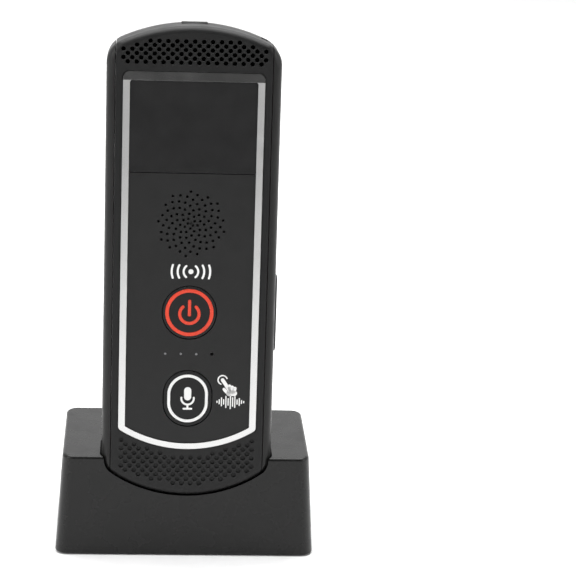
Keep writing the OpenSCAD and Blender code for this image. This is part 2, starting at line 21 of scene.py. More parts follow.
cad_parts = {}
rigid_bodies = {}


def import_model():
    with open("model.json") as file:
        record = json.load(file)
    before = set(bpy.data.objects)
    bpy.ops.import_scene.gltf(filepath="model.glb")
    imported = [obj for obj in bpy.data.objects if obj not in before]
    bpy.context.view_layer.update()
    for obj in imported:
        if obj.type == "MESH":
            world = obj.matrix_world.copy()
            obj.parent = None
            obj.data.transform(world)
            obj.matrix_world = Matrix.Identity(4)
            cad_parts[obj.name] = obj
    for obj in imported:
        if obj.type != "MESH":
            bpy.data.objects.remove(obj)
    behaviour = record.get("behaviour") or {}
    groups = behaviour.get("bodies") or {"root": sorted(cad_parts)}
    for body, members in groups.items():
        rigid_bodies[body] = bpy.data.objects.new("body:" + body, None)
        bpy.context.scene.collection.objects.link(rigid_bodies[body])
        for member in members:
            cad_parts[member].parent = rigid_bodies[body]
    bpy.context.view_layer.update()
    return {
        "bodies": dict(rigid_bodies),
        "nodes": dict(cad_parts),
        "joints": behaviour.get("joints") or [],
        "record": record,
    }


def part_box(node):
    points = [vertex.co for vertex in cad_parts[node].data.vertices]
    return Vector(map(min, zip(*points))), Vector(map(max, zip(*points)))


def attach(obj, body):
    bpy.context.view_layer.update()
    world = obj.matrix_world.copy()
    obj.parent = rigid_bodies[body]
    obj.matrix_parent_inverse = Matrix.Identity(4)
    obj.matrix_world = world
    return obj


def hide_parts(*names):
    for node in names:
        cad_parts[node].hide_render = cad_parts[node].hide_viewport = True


LOG = logging.getLogger("pager")
MM = 0.001
Point = tuple[float, float]


class Cut(Enum):
    """What a boolean does with its tool."""

    TAKE = "DIFFERENCE"
    ADD = "UNION"
    SHARE = "INTERSECT"


class Texture(Enum):
    """The kinds of surface that a finish can have."""

    GRAIN = "fine moulded grain"
    BRUSHED = "metal with fine drawn lines"
    FOAM = "open cells"
    BOARD = "lacquered circuit board"


# ---------- drawing and shaping ----------


def arc_steps(radius: float, degrees: float) -> int:
    """Gives the number of steps that keeps an arc's chords within a hair of it."""
    return max(3, math.ceil(abs(degrees) * math.sqrt(radius) / 12))


def polar(centre: Point, radius: float, degrees: float) -> Point:
    """Gives the point at a radius and an angle round a centre."""
    turn = math.radians(degrees)
    return centre[0] + radius * math.cos(turn), centre[1] + radius * math.sin(turn)


class Pen:
    """Draws one closed outline of straight runs and arcs in the x-z plane."""

    def __init__(self, x: float, z: float) -> None:
        """Sets the pen down at a first point."""
        self.sheet = bmesh.new()
        self.tip = self.sheet.verts.new((x, 0.0, z))

    def line(self, x: float, z: float) -> Pen:
        """Draws a straight run to a point."""
        tip = self.sheet.verts.new((x, 0.0, z))
        self.sheet.edges.new((self.tip, tip))
        self.tip = tip
        return self

    def arc(self, centre: Point, degrees: float) -> Pen:
        """Draws an arc round a centre, anticlockwise as seen from the front.

        Args:
            centre: the arc's centre, x and z.
            degrees: the angle it sweeps; a negative one runs clockwise.

        Returns:
            The pen itself, for the next run.
        """
        radius = math.hypot(self.tip.co.x - centre[0], self.tip.co.z - centre[1])
        spun = bmesh.ops.spin(
            self.sheet, geom=[self.tip], cent=(centre[0], 0, centre[1]), axis=(0, 1, 0),
            angle=-math.radians(degrees), steps=arc_steps(radius, degrees), use_duplicate=False,
        )
        self.tip = next(v for v in spun["geom_last"] if isinstance(v, bmesh.types.BMVert))
        return self

    def face(self) -> bmesh.types.BMesh:
        """Joins the ends and fills the outline with one face."""
        self.sheet.verts.ensure_lookup_table()
        first = self.sheet.verts[0]
        if (first.co - self.tip.co).length > 1e-3:
            self.sheet.edges.new((self.tip, first))
        bmesh.ops.remove_doubles(self.sheet, verts=self.sheet.verts[:], dist=1e-3)
        bmesh.ops.contextual_create(self.sheet, geom=self.sheet.edges[:])
        return self.sheet


def disc(centre: Point, radius: float) -> bmesh.types.BMesh:
    """Draws a filled circle."""
    return Pen(centre[0] + radius, centre[1]).arc(centre, 360).face()


def bar(start: Point, end: Point, width: float) -> bmesh.types.BMesh:
    """Draws a straight stroke with round ends.

    Args:
        start: the middle of the first round end.
        end: the middle of the last round end.
        width: the stroke's width.

    Returns:
        The filled outline.
    """
    way = math.degrees(math.atan2(end[1] - start[1], end[0] - start[0]))
    corner = polar(end, width / 2, way - 90)
    return Pen(*corner).arc(end, 180).line(*polar(start, width / 2, way + 90)).arc(start, 180).face()


def bow(centre: Point, radius: float, width: float, start: float, sweep: float) -> bmesh.types.BMesh:
    """Draws a curved stroke with round ends.

    Args:
        centre: the centre of the curve.
        radius: the radius of the stroke's middle line.
        width: the stroke's width.
        start: the angle where it starts, in degrees.
        sweep: the angle it covers, in degrees.

    Returns:
        The filled outline.
    """
    pen = Pen(*polar(centre, radius + width / 2, start)).arc(centre, sweep)
    pen.arc(polar(centre, radius, start + sweep), 180).arc(centre, -sweep)
    return pen.arc(polar(centre, radius, start), 180).face()


def oblong(centre: Point, width: float, straight: float) -> bmesh.types.BMesh:
    """Draws an upright oblong: two half circles joined by straight sides.

    Args:
        centre: its middle.
        width: its width.
        straight: the length of its straight sides.

    Returns:
        The filled outline.
    """
    x, z = centre
    return bar((x, z - straight / 2), (x, z + straight / 2), width)


def slab(sheet: bmesh.types.BMesh, near: float, far: float) -> bmesh.types.BMesh:
    """Gives a filled outline its thickness along y.

    Args:
        sheet: the filled outline, which becomes the solid.
        near: the y of its front.
        far: the y of its back.

    Returns:
        The closed solid.
    """
    bmesh.ops.translate(sheet, vec=(0, near, 0), verts=sheet.verts[:])
    pulled = bmesh.ops.extrude_face_region(sheet, geom=sheet.faces[:])
    moved = [v for v in pulled["geom"] if isinstance(v, bmesh.types.BMVert)]
    bmesh.ops.translate(sheet, vec=(0, far - near, 0), verts=moved)
    bmesh.ops.recalc_face_normals(sheet, faces=sheet.faces[:])
    return sheet


def block(low: Sequence[float], high: Sequence[float]) -> bmesh.types.BMesh:
    """Makes a box from its two corners."""
    size = Vector(high) - Vector(low)
    place = Matrix.Translation((Vector(high) + Vector(low)) / 2) @ Matrix.Diagonal((*size, 1))
    made = bmesh.new()
    bmesh.ops.create_cube(made, size=1, matrix=place)
    return made


def turned(profile: Sequence[Point], centre: Point = (0, 0), steps: int = 0) -> bmesh.types.BMesh:
    """Turns a profile round an axis that runs along y.

    Args:
        profile: radius and y of each point.
        centre: x and z of the axis.
        steps: how many steps the turn has; 0 lets the radius choose.

    Returns:
        The closed solid.
    """
    made = bmesh.new()
    spots = [made.verts.new((radius, y, 0)) for radius, y in profile]
    for one, two in zip(spots, spots[1:]):
        made.edges.new((one, two))
    if profile[0][0] > 0:
        made.edges.new((spots[-1], spots[0]))
    widest = max(radius for radius, _ in profile)
    bmesh.ops.spin(
        made, geom=made.verts[:] + made.edges[:], cent=(0, 0, 0), axis=(0, 1, 0),
        angle=math.tau, steps=steps or arc_steps(widest, 360), use_merge=True, use_duplicate=False,
    )
    bmesh.ops.remove_doubles(made, verts=made.verts[:], dist=1e-4)
    bmesh.ops.recalc_face_normals(made, faces=made.faces[:])
    bmesh.ops.translate(made, vec=(centre[0], 0, centre[1]), verts=made.verts[:])
    return made


def drill(radius: float, near: float, far: float, lip: float, steps: int = 20) -> bmesh.types.BMesh:
    """Makes a drill with a flared neck, which leaves a blunt lip round its hole.

    Args:
        radius: the hole's radius.
        near: the y of the surface that it enters.
        far: the y of its point.
        lip: the width of the blunt lip.
        steps: how many sides the hole has.

    Returns:
        The closed drill, on the y axis.
    """
    above = near - 0.5
    profile = [(0, above), (radius + lip, above), (radius + lip, near), (radius, near + lip), (radius, far)]
    return turned([*profile, (0, far)], steps=steps)


def join(shapes: Iterable[bmesh.types.BMesh]) -> bmesh.types.BMesh:
    """Puts several shapes in one, as they are."""
    whole = bmesh.new()
    for shape in shapes:
        mesh = bpy.data.meshes.new("joined")
        shape.to_mesh(mesh)
        shape.free()
        whole.from_mesh(mesh)
        bpy.data.meshes.remove(mesh)
    return whole


def repeat(pattern: bmesh.types.BMesh, places: Iterable[Point]) -> bmesh.types.BMesh:
    """Puts a copy of a shape at each place.

    Args:
        pattern: the shape, drawn round the y axis.
        places: x and z of each copy.

    Returns:
        One shape with all the copies.
    """
    mesh = bpy.data.meshes.new("pattern")
    pattern.to_mesh(mesh)
    pattern.free()
    whole = bmesh.new()
    for x, z in places:
        before = len(whole.verts)
        whole.from_mesh(mesh)
        whole.verts.ensure_lookup_table()
        bmesh.ops.translate(whole, vec=(x, 0, z), verts=whole.verts[before:])
    bpy.data.meshes.remove(mesh)
    return whole


def bench(shape: bmesh.types.BMesh) -> bpy.types.Object:
    """Lays a shape on the bench as a short-lived object, so that a modifier can work on it."""
    mesh = bpy.data.meshes.new("bench")
    shape.to_mesh(mesh)
    shape.free()
    item = bpy.data.objects.new("bench", mesh)
    bpy.context.scene.collection.objects.link(item)
    return item


def worked(item: bpy.types.Object, *others: bpy.types.Object) -> bmesh.types.BMesh:
    """Takes the modified shape off the bench and clears the bench.

    Args:
        item: the object whose modifiers have done the work.
        others: other objects to clear away.

    Returns:
        The shape as its modifiers left it.
    """
    graph = bpy.context.evaluated_depsgraph_get()
    graph.update()
    mesh = bpy.data.meshes.new_from_object(item.evaluated_get(graph))
    shape = bmesh.new()
    shape.from_mesh(mesh)
    bpy.data.meshes.remove(mesh)
    for gone in (item, *others):
        data = gone.data
        bpy.data.objects.remove(gone)
        bpy.data.meshes.remove(data)
    return shape


def carve(
    work: bmesh.types.BMesh, tool: bmesh.types.BMesh, how: Cut = Cut.TAKE
) -> bmesh.types.BMesh:
    """Cuts a shape with another, or joins the two into one solid.

    Args:
        work: the shape that is cut.
        tool: the shape that cuts it.
        how: what is done with the tool.

    Returns:
        The new shape; both given ones are used up.
    """
    item, other = bench(work), bench(tool)
    step = item.modifiers.new("carve", "BOOLEAN")
    step.operation, step.solver, step.object = how.value, "MANIFOLD", other
    shape = worked(item, other)
    if not shape.faces:
        raise RuntimeError("a cut left nothing")
    return shape


def melt(shapes: Sequence[bmesh.types.BMesh]) -> bmesh.types.BMesh:
    """Joins overlapping solids into one."""
    whole = shapes[0]
    for shape in shapes[1:]:
        whole = carve(whole, shape, Cut.ADD)
    return whole


def keep(shape: bmesh.types.BMesh, spot: Sequence[float], away: Sequence[float]) -> bmesh.types.BMesh:
    """Slices a solid with a plane, drops what lies beyond it and closes the cut.

    Args:
        shape: the solid.
        spot: a point of the plane.
        away: the plane's normal, which points to the part that is dropped.

    Returns:
        The same shape, sliced.
    """
    parts = shape.verts[:] + shape.edges[:] + shape.faces[:]
    sliced = bmesh.ops.bisect_plane(
        shape, geom=parts, dist=1e-5, plane_co=spot, plane_no=away, clear_outer=True
    )
    rim = [e for e in sliced["geom_cut"] if isinstance(e, bmesh.types.BMEdge)]
    bmesh.ops.contextual_create(shape, geom=rim)
    bmesh.ops.recalc_face_normals(shape, faces=shape.faces[:])
    return shape


def ease(
    shape: bmesh.types.BMesh, width: float, where: Callable[[Vector], bool], segments: int = 3,
    sharper: float = 40,
) -> bmesh.types.BMesh:
    """Rounds the sharp edges that lie where a test says.

    Args:
        shape: the solid.
        width: the size of the rounding.
        where: says of a point whether the edges there are rounded.
        segments: how many steps the rounding has.
        sharper: the least angle of an edge that counts as sharp, in degrees.

    Returns:
        The same shape, eased.
    """
    limit = math.radians(sharper)
    edges = [
        e for e in shape.edges
        if len(e.link_faces) == 2 and e.calc_face_angle(0) > limit and all(where(v.co) for v in e.verts)
    ]
    if edges:
        bmesh.ops.bevel(
            shape, geom=edges, offset=width, offset_type="OFFSET", segments=segments, profile=0.5,
            affect="EDGES", clamp_overlap=True, material=-1,
        )
    return shape


def everywhere(_: Vector) -> bool:
    """Says yes to every point."""
    return True


# ---------- finishes ----------


@dataclass(frozen=True)
class Finish:
    """A procedural finish: a base colour with its grain, mottle and sheen."""

    name: str
    colour: tuple[float, float, float]
    roughness: float
    metallic: float = 0.0
    specular: float = 0.5
    facing: float = 1.0
    grain: float = 0.35
    relief: float = 0.12
    mottle: float = 0.12
    unevenness: float = 0.08
    coat: float = 0.0
    glow: float = 0.0
    clear: float = 0.0
    texture: Texture = Texture.GRAIN

    def material(self) -> bpy.types.Material:
        """Builds the finish as a node material.

        Returns:
            The new material.
        """
        made = bpy.data.materials.new(self.name)
        made.use_nodes = True
        tree = made.node_tree
        shader = tree.nodes["Principled BSDF"]
        shader.inputs["Metallic"].default_value = self.metallic
        shader.inputs["Specular IOR Level"].default_value = self.specular
        shader.inputs["Specular Tint"].default_value = (*grey(self.facing), 1)
        shader.inputs["Coat Weight"].default_value = self.coat
        shader.inputs["Coat Roughness"].default_value = 0.08
        shader.inputs["Transmission Weight"].default_value = self.clear
        if self.glow:
            shader.inputs["Emission Color"].default_value = (*self.colour, 1)
            shader.inputs["Emission Strength"].default_value = self.glow
        place = tree.nodes.new("ShaderNodeTexCoord")
        stretch = tree.nodes.new("ShaderNodeMapping")
        drawn = self.texture is Texture.BRUSHED
        stretch.inputs["Scale"].default_value = (0.06, 1, 1) if drawn else (1, 1, 1)
        tree.links.new(place.outputs["Object"], stretch.inputs["Vector"])
        where = stretch.outputs["Vector"]
        fine = self._fine(tree, where)
        cloud = self._noise(tree, where, 9.0, 3.0)
        self._colour(tree, shader, fine, cloud)
        self._roughness(tree, shader, cloud)
        self._bump(tree, shader, fine)
        return made

    def _noise(
        self, tree: bpy.types.NodeTree, where: bpy.types.NodeSocket, size: float, detail: float
    ) -> bpy.types.NodeSocket:
        """Adds a noise whose blots are of a size in millimetres.

        Args:
            tree: the material's nodes.
            where: the coordinates that it reads.
            size: the size of a blot.
            detail: how many finer layers it has.

        Returns:
            The socket with the noise's value.
        """
        noise = tree.nodes.new("ShaderNodeTexNoise")
        noise.inputs["Scale"].default_value = 1 / (size * MM)
        noise.inputs["Detail"].default_value = detail
        noise.inputs["Roughness"].default_value = 0.55
        tree.links.new(where, noise.inputs["Vector"])
        return noise.outputs["Fac"]

    def _fine(self, tree: bpy.types.NodeTree, where: bpy.types.NodeSocket) -> bpy.types.NodeSocket:
        """Adds the fine pattern that the kind of surface has.

        Args:
            tree: the material's nodes.
            where: the coordinates that it reads.

        Returns:
            The socket with the pattern's value.
        """
        if self.texture is Texture.FOAM or self.texture is Texture.BOARD:
            cells = tree.nodes.new("ShaderNodeTexVoronoi")
            cells.feature = "DISTANCE_TO_EDGE" if self.texture is Texture.BOARD else "F1"
            cells.distance = "EUCLIDEAN"
            cells.inputs["Scale"].default_value = 1 / (self.grain * MM)
            tree.links.new(where, cells.inputs["Vector"])
            return cells.outputs["Distance"]
        return self._noise(tree, where, self.grain, 2.0)

    def _colour(
        self, tree: bpy.types.NodeTree, shader: bpy.types.Node, fine: bpy.types.NodeSocket,
        cloud: bpy.types.NodeSocket,
    ) -> None:
        """Varies the base colour with the fine pattern and with broad soft clouds.

        Args:
            tree: the material's nodes.
            shader: the surface shader.
            fine: the fine pattern's value.
            cloud: the broad pattern's value.
        """
        mixed = tree.nodes.new("ShaderNodeMath")
        mixed.operation = "MULTIPLY_ADD"
        tree.links.new(fine, mixed.inputs[0])
        mixed.inputs[1].default_value = 0.5
        tree.links.new(cloud, mixed.inputs[2])
        ramp = tree.nodes.new("ShaderNodeValToRGB")
        low, high = ramp.color_ramp.elements
        low.position, high.position = 0.5, 1.0
        low.color = (*(c * (1 - self.mottle) for c in self.colour), 1)
        high.color = (*(min(1, c * (1 + self.mottle)) for c in self.colour), 1)
        tree.links.new(mixed.outputs[0], ramp.inputs["Fac"])
        tree.links.new(ramp.outputs["Color"], shader.inputs["Base Color"])

    def _roughness(
        self, tree: bpy.types.NodeTree, shader: bpy.types.Node, cloud: bpy.types.NodeSocket
    ) -> None:
        """Makes the sheen a little uneven, as handling leaves it.

        Args:
            tree: the material's nodes.
            shader: the surface shader.
            cloud: the broad pattern's value.
        """
        spread = tree.nodes.new("ShaderNodeMapRange")
        spread.inputs["From Min"].default_value = 0.3
        spread.inputs["From Max"].default_value = 0.7
        spread.inputs["To Min"].default_value = max(0.02, self.roughness - self.unevenness)
        spread.inputs["To Max"].default_value = min(1, self.roughness + self.unevenness)
        tree.links.new(cloud, spread.inputs["Value"])
        tree.links.new(spread.outputs["Result"], shader.inputs["Roughness"])

    def _bump(
        self, tree: bpy.types.NodeTree, shader: bpy.types.Node, fine: bpy.types.NodeSocket
    ) -> None:
        """Raises the fine pattern a little.

        Args:
            tree: the material's nodes.
            shader: the surface shader.
            fine: the fine pattern's value.
        """
        bump = tree.nodes.new("ShaderNodeBump")
        bump.inputs["Strength"].default_value = self.relief
        bump.inputs["Distance"].default_value = 0.12 * self.grain * MM
        tree.links.new(fine, bump.inputs["Height"])
        tree.links.new(bump.outputs["Normal"], shader.inputs["Normal"])


def grey(level: float) -> tuple[float, float, float]:
    """Gives a neutral colour of one level."""
    return level, level, level


FINISHES = (
    Finish("housing", (0.0105, 0.0105, 0.0105), 0.44, facing=0.45, relief=0.2),
    Finish("rail", (0.0105, 0.0103, 0.01), 0.38, facing=0.5, relief=0.22, grain=0.3),
    Finish("chrome", (0.6, 0.6, 0.595), 0.2, metallic=1, relief=0.02, mottle=0.02, unevenness=0.03),
    Finish("window", (0.0115, 0.0115, 0.0117), 0.2, facing=0.5, relief=0.02, unevenness=0.04),
    Finish("panel", (0.0125, 0.0125, 0.0125), 0.4, facing=0.5, relief=0.12),
    Finish("display", (0.012, 0.015, 0.02), 0.2, relief=0.02),
    Finish("button", (0.0085, 0.0085, 0.0087), 0.34, facing=0.45, relief=0.12, grain=0.25),
    Finish("red_legend", (0.68, 0.042, 0.012), 0.36, relief=0.05, mottle=0.08),
    Finish("white_legend", (0.8, 0.8, 0.79), 0.4, relief=0.05, mottle=0.04),
    Finish("plunger", (0.28, 0.16, 0.07), 0.5, relief=0.2),
    Finish("black_part", (0.006, 0.006, 0.007), 0.5, relief=0.25, grain=0.4),
    Finish("rubber", (0.009, 0.009, 0.009), 0.8, specular=0.3, relief=0.5, grain=0.5),
    Finish("steel", (0.55, 0.55, 0.56), 0.28, metallic=1, relief=0.2, texture=Texture.BRUSHED),
    Finish("board", (0.012, 0.09, 0.04), 0.3, coat=0.4, grain=2.4, relief=0.4, mottle=0.35, texture=Texture.BOARD),
    Finish("foam", (0.03, 0.03, 0.031), 0.95, grain=0.6, relief=0.9, mottle=0.4, texture=Texture.FOAM),
    Finish("magnet", (0.35, 0.35, 0.36), 0.35, metallic=0.9, relief=0.25),
    Finish("cone", (0.03, 0.028, 0.025), 0.8, grain=0.8, relief=0.6, mottle=0.3),
    Finish("clear", (0.28, 0.28, 0.29), 0.16, clear=0.35, relief=0.05, unevenness=0.05),
    Finish("mesh", (0.003, 0.003, 0.003), 0.9, specular=0.1, grain=0.4, relief=0.6, texture=Texture.FOAM),
    Finish("copper", (0.8, 0.36, 0.18), 0.3, metallic=1, relief=0.15, texture=Texture.BRUSHED),
    Finish("battery", (0.33, 0.34, 0.36), 0.42, metallic=0.5, grain=1.2, relief=0.35),
    Finish("wire", (0.35, 0.012, 0.012), 0.45, relief=0.15),
    Finish("ivory", (0.74, 0.68, 0.52), 0.5, relief=0.2),
    Finish("gold", (0.85, 0.56, 0.24), 0.24, metallic=1, relief=0.1, grain=0.2),
    Finish("screw", (0.19, 0.19, 0.2), 0.36, metallic=0.9, relief=0.3, grain=0.25),
    Finish("dock", (0.0085, 0.0084, 0.0082), 0.27, specular=0.68, facing=0.38, relief=0.2),
    Finish("dock_under", (0.011, 0.011, 0.011), 0.55, relief=0.3, grain=0.5),
)


# ---------- the shop that places and dresses the pieces ----------


@dataclass
class Shop:
    """Turns finished shapes into placed and dressed pieces."""

    frame: dict
    finishes: dict[str, bpy.types.Material] = field(default_factory=dict)
    seat: Matrix = field(default_factory=Matrix)
    crease: float = 34.0

    def __post_init__(self) -> None:
        """Mixes every finish and works out how the handset leans in the dock."""
        self.finishes = {finish.name: finish.material() for finish in FINISHES}
        lift = next(j for j in self.frame["joints"] if j["name"] == "handset_lift")
        lean = math.atan2(lift["axis"][1], lift["axis"][2])
        low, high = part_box("charge_pads")
        foot = Vector(((low.x + high.x) / 2, (low.y + high.y) / 2, (low.z + high.z) / 2))
        turn = Matrix.Rotation(-lean, 4, "X")
        pads_middle = Vector((0, 13.0, 1.8))
        shift = foot - turn @ pads_middle * MM
        self.seat = Matrix.Translation(shift) @ turn @ Matrix.Scale(MM, 4)

    def dress_nodes(self) -> None:
        """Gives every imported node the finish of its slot."""
        for part in self.frame["record"]["subparts"]:
            node = self.frame["nodes"][part["node"]]
            for holder in node.material_slots:
                holder.material = self.finishes[part["material_slot"]]

    def piece(
        self, name: str, shape: bmesh.types.BMesh, finish: str, body: str, stands_for: str = "",
        place: Matrix | None = None, crease: float | None = None,
    ) -> bpy.types.Object:
        """Makes a finished piece and hangs it on its body.

        Args:
            name: the piece's name.
            shape: its closed shape, in millimetres; it is used up.
            finish: the slot whose finish it wears.
            body: the body that it rides on.
            stands_for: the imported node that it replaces, if any.
            place: where it goes; the seated handset's place if not given.
            crease: the angle from which an edge is sharp; the shop's own if not given.

        Returns:
            The piece.
        """
        shape.transform(place or self.seat)
        limit = math.radians(crease or self.crease)
        for edge in shape.edges:
            edge.smooth = edge.calc_face_angle(math.pi) < limit
        for side in shape.faces:
            side.smooth = True
            side.material_index = 0
        open_edges = sum(not edge.is_manifold for edge in shape.edges)
        mesh = bpy.data.meshes.new(name)
        shape.to_mesh(mesh)
        shape.free()
        made = bpy.data.objects.new(name, mesh)
        bpy.context.scene.collection.objects.link(made)
        even = made.modifiers.new("even_shading", "WEIGHTED_NORMAL")
        even.keep_sharp = True
        graph = bpy.context.evaluated_depsgraph_get()
        graph.update()
        made.data = bpy.data.meshes.new_from_object(
            made.evaluated_get(graph), preserve_all_data_layers=True, depsgraph=graph
        )
        made.data.name = name
        made.modifiers.clear()
        bpy.data.meshes.remove(mesh)
        made.data.materials.clear()
        made.data.materials.append(self.finishes[finish])
        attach(made, body)
        if stands_for:
            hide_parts(stands_for)
        LOG.info("%s: %d faces, %d open edges, rides on %s", name, len(made.data.polygons), open_edges, body)
        return made


# ---------- the handset ----------


@dataclass
class Handset:
    """The handset's closed form, which its shells and rails are cut from."""

    width: float = 71.0
    length: float = 197.0
    thick: float = 23.0
    crown: float = 71.0
    foot: float = 57.0
    shoulder: float = 10.0
    heel: float = 7.0
    wall: float = 2.0
    front_wall: float = 2.8
    split: float = 11.0
    seam: float = 31.8
    seam_gap: float = 0.15
    front_round: Point = (3.0, 4.0)
    back_round: Point = (4.0, 6.0)
    round_steps: int = 9

    def outline(self, grow: float = 0.0) -> bmesh.types.BMesh:
        """Draws the handset as seen from the front.

        Args:
            grow: how far the outline stands outside the real one.

        Returns:
            The filled outline.
        """
        half = self.width / 2
        top_x, foot_x = half - self.shoulder, half - self.heel
        crown_z = self.length - self.crown
        top_z = crown_z + math.sqrt((self.crown - self.shoulder) ** 2 - top_x**2)
        foot_z = self.foot - math.sqrt((self.foot - self.heel) ** 2 - foot_x**2)
        top_turn = math.degrees(math.asin(top_x / (self.crown - self.shoulder)))
        foot_turn = math.degrees(math.asin(foot_x / (self.foot - self.heel)))
        pen = Pen(half + grow, foot_z).line(half + grow, top_z)
        pen.arc((top_x, top_z), 90 - top_turn).arc((0, crown_z), 2 * top_turn)
        pen.arc((-top_x, top_z), 90 - top_turn).line(-half - grow, foot_z)
        pen.arc((-foot_x, foot_z), 90 - foot_turn).arc((0, self.foot), 2 * foot_turn)
        return pen.arc((foot_x, foot_z), 90 - foot_turn).face()

    def form(self, grow: float = 0.0) -> bmesh.types.BMesh:
        """Makes the whole closed handset with its front and back edges rounded.

        Args:
            grow: how far it stands outside the real one.

        Returns:
            The closed solid.
        """
        solid = slab(self.outline(grow), -grow, self.thick + grow)
        weight = solid.edges.layers.float.new("bevel_weight_edge")
        full = self.back_round[1] + grow
        for edge in solid.edges:
            depths = [v.co.y for v in edge.verts]
            if abs(depths[0] - depths[1]) > 1:
                continue
            run = (edge.verts[1].co - edge.verts[0].co).normalized()
            side = min(1.0, max(0.0, (abs(run.z) - 0.5) * 2))
            least, most = self.front_round if depths[0] < 1 else self.back_round
            edge[weight] = (least + (most - least) * side + grow) / full
        item = bench(solid)
        step = item.modifiers.new("round", "BEVEL")
        step.limit_method, step.width, step.segments = "WEIGHT", full, self.round_steps
        step.use_clamp_overlap, step.loop_slide = False, False
        return worked(item)

    def part(self, half_width: float, near: float, far: float, grow: float = 0.0) -> bmesh.types.BMesh:
        """Cuts the middle part of the handset between two depths.

        Args:
            half_width: half the width of the part.
            near: the y where it starts.
            far: the y where it ends.
            grow: how far it stands outside the real one.

        Returns:
            The closed solid.
        """
        solid = self.form(grow)
        keep(solid, (half_width, 0, 0), (1, 0, 0))
        keep(solid, (-half_width, 0, 0), (-1, 0, 0))
        if near > -grow:
            keep(solid, (0, near, 0), (0, -1, 0))
        if far < self.thick + grow:
            keep(solid, (0, far, 0), (0, 1, 0))
        return solid

    def hollow(self, near: float, far: float) -> bmesh.types.BMesh:
        """Makes the room inside the shells between two depths."""
        return self.part(self.seam - self.seam_gap - self.wall, near, far, -self.wall)


